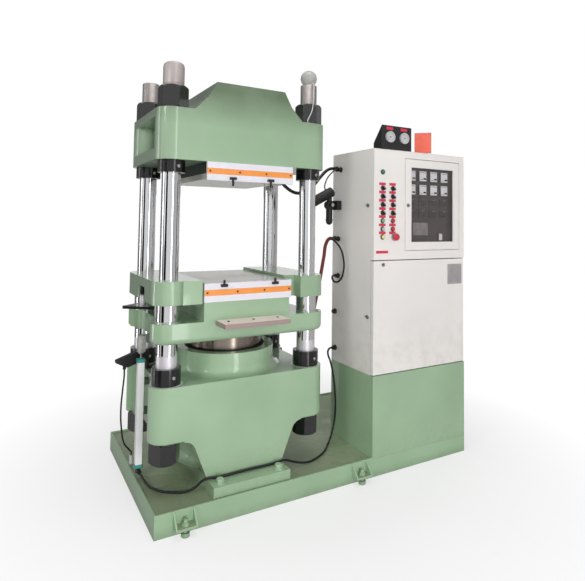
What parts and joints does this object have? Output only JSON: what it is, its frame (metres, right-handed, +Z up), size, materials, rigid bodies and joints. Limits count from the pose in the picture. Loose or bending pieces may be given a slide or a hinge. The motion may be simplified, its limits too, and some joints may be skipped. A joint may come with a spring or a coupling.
{
  "type": "brake pad press",
  "caption": "Four-column up-stroke hydraulic press with heated plates for brake pads, on a tray base with oil tank and control cabinet.",
  "frame": {"origin": "middle of the tray base's footprint, on the floor", "axes": "+X to the right along the front, +Y to the back, +Z up"},
  "size_m": [2.069, 1.186, 2.35],
  "materials": {
    "green_paint": "satin enamel over castings and plate",
    "chrome": "hard chrome, polished",
    "bare_steel": "ground steel",
    "black_plastic": "matte black",
    "black_oxide": "black oxide",
    "white_enamel": "textured off-white enamel",
    "guard_board": "white board",
    "orange_strip": "orange",
    "insulation": "dark fibre board",
    "dark_glass": "smoked glass",
    "gauge_steel": "bezel",
    "lamp_grey": "grey globe",
    "hose_red": "brick-red sheath",
    "white_plastic": "white",
    "instrument_grey": "light grey",
    "cable_black": "rubber sheath"
  },
  "bodies": {
    "root": {"base_tray": "green_paint", "levelling_brackets": "green_paint", "levelling_bolts": "bare_steel", "lower_casting": "green_paint", "ram_wiper": "black_plastic", "columns": "chrome", "upper_hex_nuts": "black_oxide", "beam_lock_nuts": "black_oxide", "lower_lock_nuts": "black_oxide", "lower_hex_nuts": "black_oxide", "stop_sleeves": "chrome", "upper_beam": "green_paint", "upper_insulation": "insulation", "upper_heat_plate": "bare_steel", "upper_guard": "guard_board", "upper_guard_strip": "orange_strip", "upper_mould_knobs": "black_plastic", "stroke_sensor": "white_enamel", "switch_bracket": "black_plastic", "oil_tank": "green_paint", "cabinet_walls": "white_enamel", "cabinet_roof": "white_enamel", "cabinet_back": "white_enamel", "control_panel": "white_enamel", "window_frame": "white_enamel", "window_glass": "dark_glass", "instrument_panel": "black_plastic", "panel_instruments": "instrument_grey", "panel_controls": "black_plastic", "quarter_turn_locks": "gauge_steel", "door_pins": "bare_steel", "gauge_box": "black_oxide", "pressure_gauges": "gauge_steel", "signal_box": "orange_strip", "globe_lamp": "lamp_grey", "work_lamp": "black_plastic", "cable_glands": "black_plastic", "cable_connector": "white_plastic", "sensor_cable": "cable_black", "switch_cable": "cable_black", "heater_cable": "cable_black", "lamp_cord": "cable_black", "loop_cable": "cable_black", "ram_hose": "hose_red", "globe_wire": "white_plastic"},
    "ram_platen": {"ram": "bare_steel", "moving_platen": "green_paint", "lower_heat_plate": "bare_steel", "lower_guard": "guard_board", "lower_guard_strip": "orange_strip", "lower_mould_knobs": "black_plastic", "spacer_sleeves": "chrome", "left_rail": "green_paint", "right_rail": "green_paint", "loading_shelf": "bare_steel", "striker_plate": "black_plastic", "stroke_sensor_rod": "bare_steel"},
    "door_leaf": {"lower_door": "white_enamel", "door_lock": "gauge_steel", "vent_plate": "instrument_grey"}
  },
  "joints": [
    {"name": "ram_slide", "type": "slide", "parent": "root", "child": "ram_platen", "axis": [0, 0, 1], "range_m": [0, 0.45]},
    {"name": "lower_door_hinge", "type": "hinge", "parent": "root", "child": "door_leaf", "pos_m": [0.978, -0.526, 0.585], "axis": [0, 0, 1], "range_deg": [0, 115]}
  ]
}
